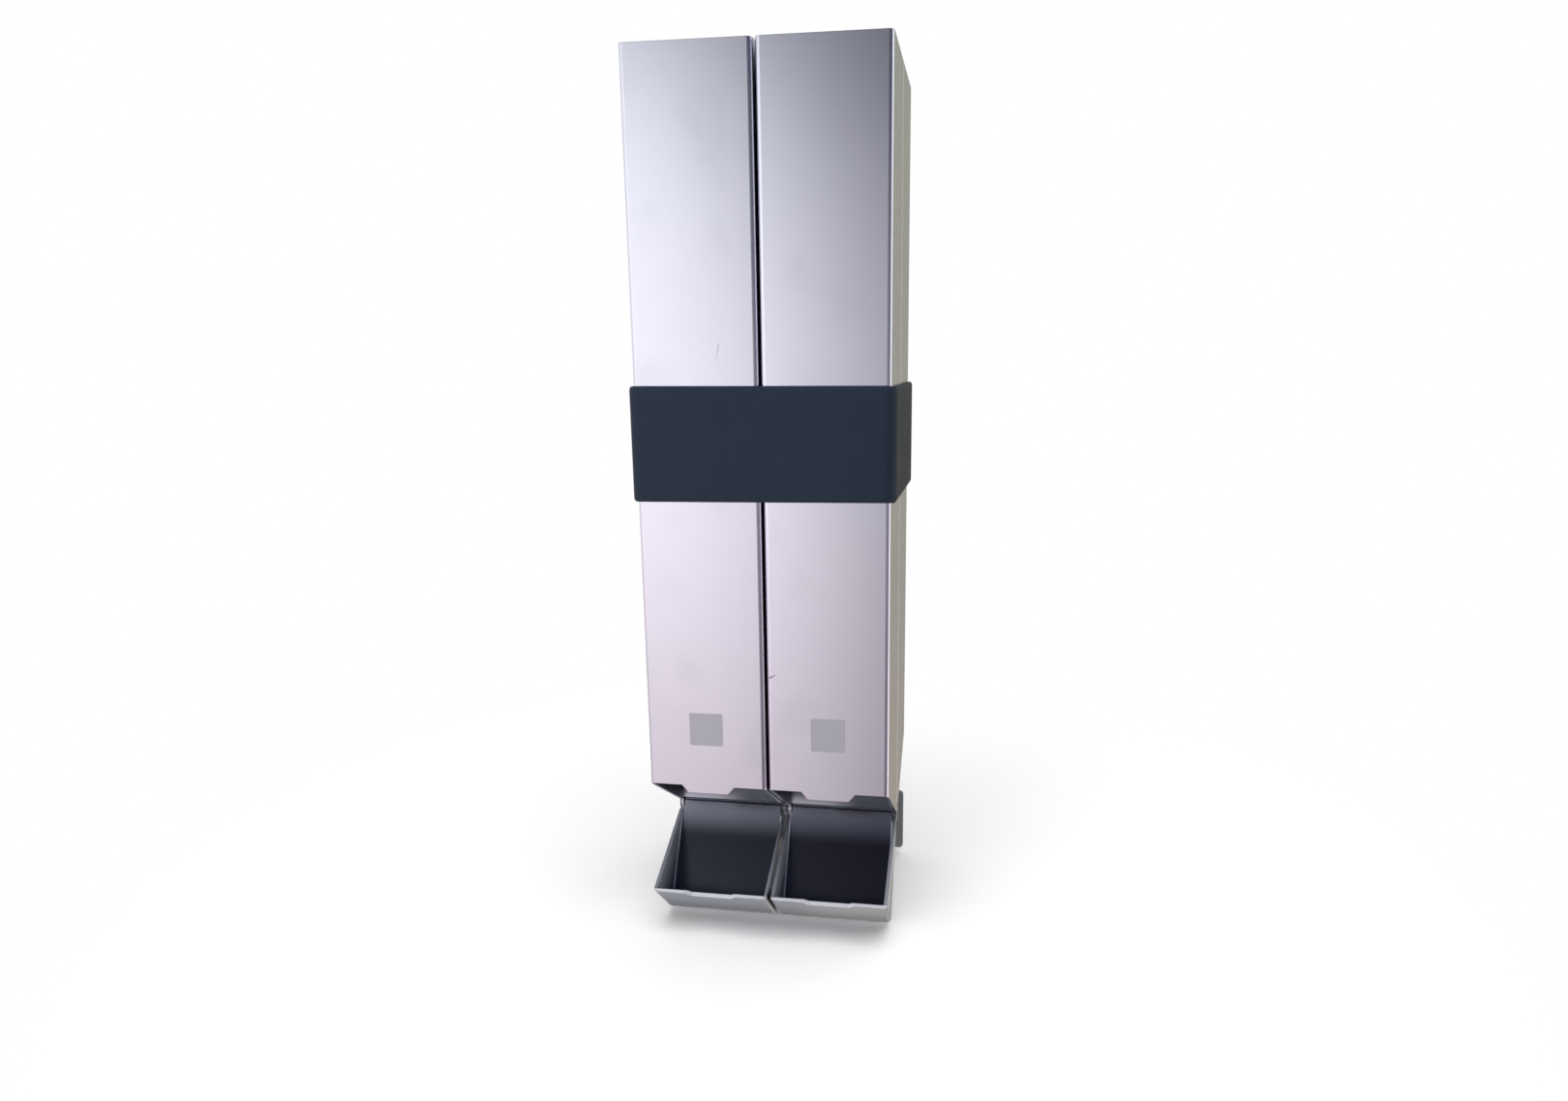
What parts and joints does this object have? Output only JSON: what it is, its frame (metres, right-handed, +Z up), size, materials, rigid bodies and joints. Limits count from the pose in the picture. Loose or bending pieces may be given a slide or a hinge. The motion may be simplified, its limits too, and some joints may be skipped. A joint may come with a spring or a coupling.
{
  "type": "wall-mounted capsule dispenser",
  "caption": "Wall-mounted capsule dispenser: square aluminium chutes side by side, each with a tip-out scoop below, hung on a wall bracket and held together by a silicone band.",
  "frame": {"origin": "centre of the wall bracket's four screw holes, on the face that lies against the wall", "axes": "+X to the right seen from the front, +Y into the wall, +Z up"},
  "size_m": [0.0902, 0.075, 0.3038],
  "materials": {
    "column": "satin anodised",
    "scoop": "bright satin anodised",
    "steel": "turned",
    "nylon": "moulded",
    "pad": "matt",
    "label": "matt film",
    "bracket": "satin powder coat",
    "band": "matt silicone"
  },
  "bodies": {
    "frame": {"chute_left": "column", "chute_right": "column", "hinge_pin_left": "steel", "hinge_pin_right": "steel", "hinge_washers_left": "nylon", "hinge_washers_right": "nylon", "stop_pad_left": "pad", "stop_pad_right": "pad", "channel_left": "column", "channel_right": "column", "channel_cap_left": "nylon", "channel_cap_right": "nylon", "label_left": "label", "label_right": "label", "rivets": "steel", "wall_bracket": "bracket", "hanger_studs": "steel", "spacer_pads": "pad", "retaining_band": "band"},
    "scoop_left": {"scoop_left": "scoop"},
    "scoop_right": {"scoop_right": "scoop"}
  },
  "joints": [
    {"name": "scoop_left_hinge", "type": "hinge", "parent": "frame", "child": "scoop_left", "pos_m": [-0.0219, -0.0366, -0.10145], "axis": [1, 0, 0], "range_deg": [-58.2, 0]},
    {"name": "scoop_right_hinge", "type": "hinge", "parent": "frame", "child": "scoop_right", "pos_m": [0.0219, -0.0366, -0.10145], "axis": [1, 0, 0], "range_deg": [-58.2, 0]}
  ]
}
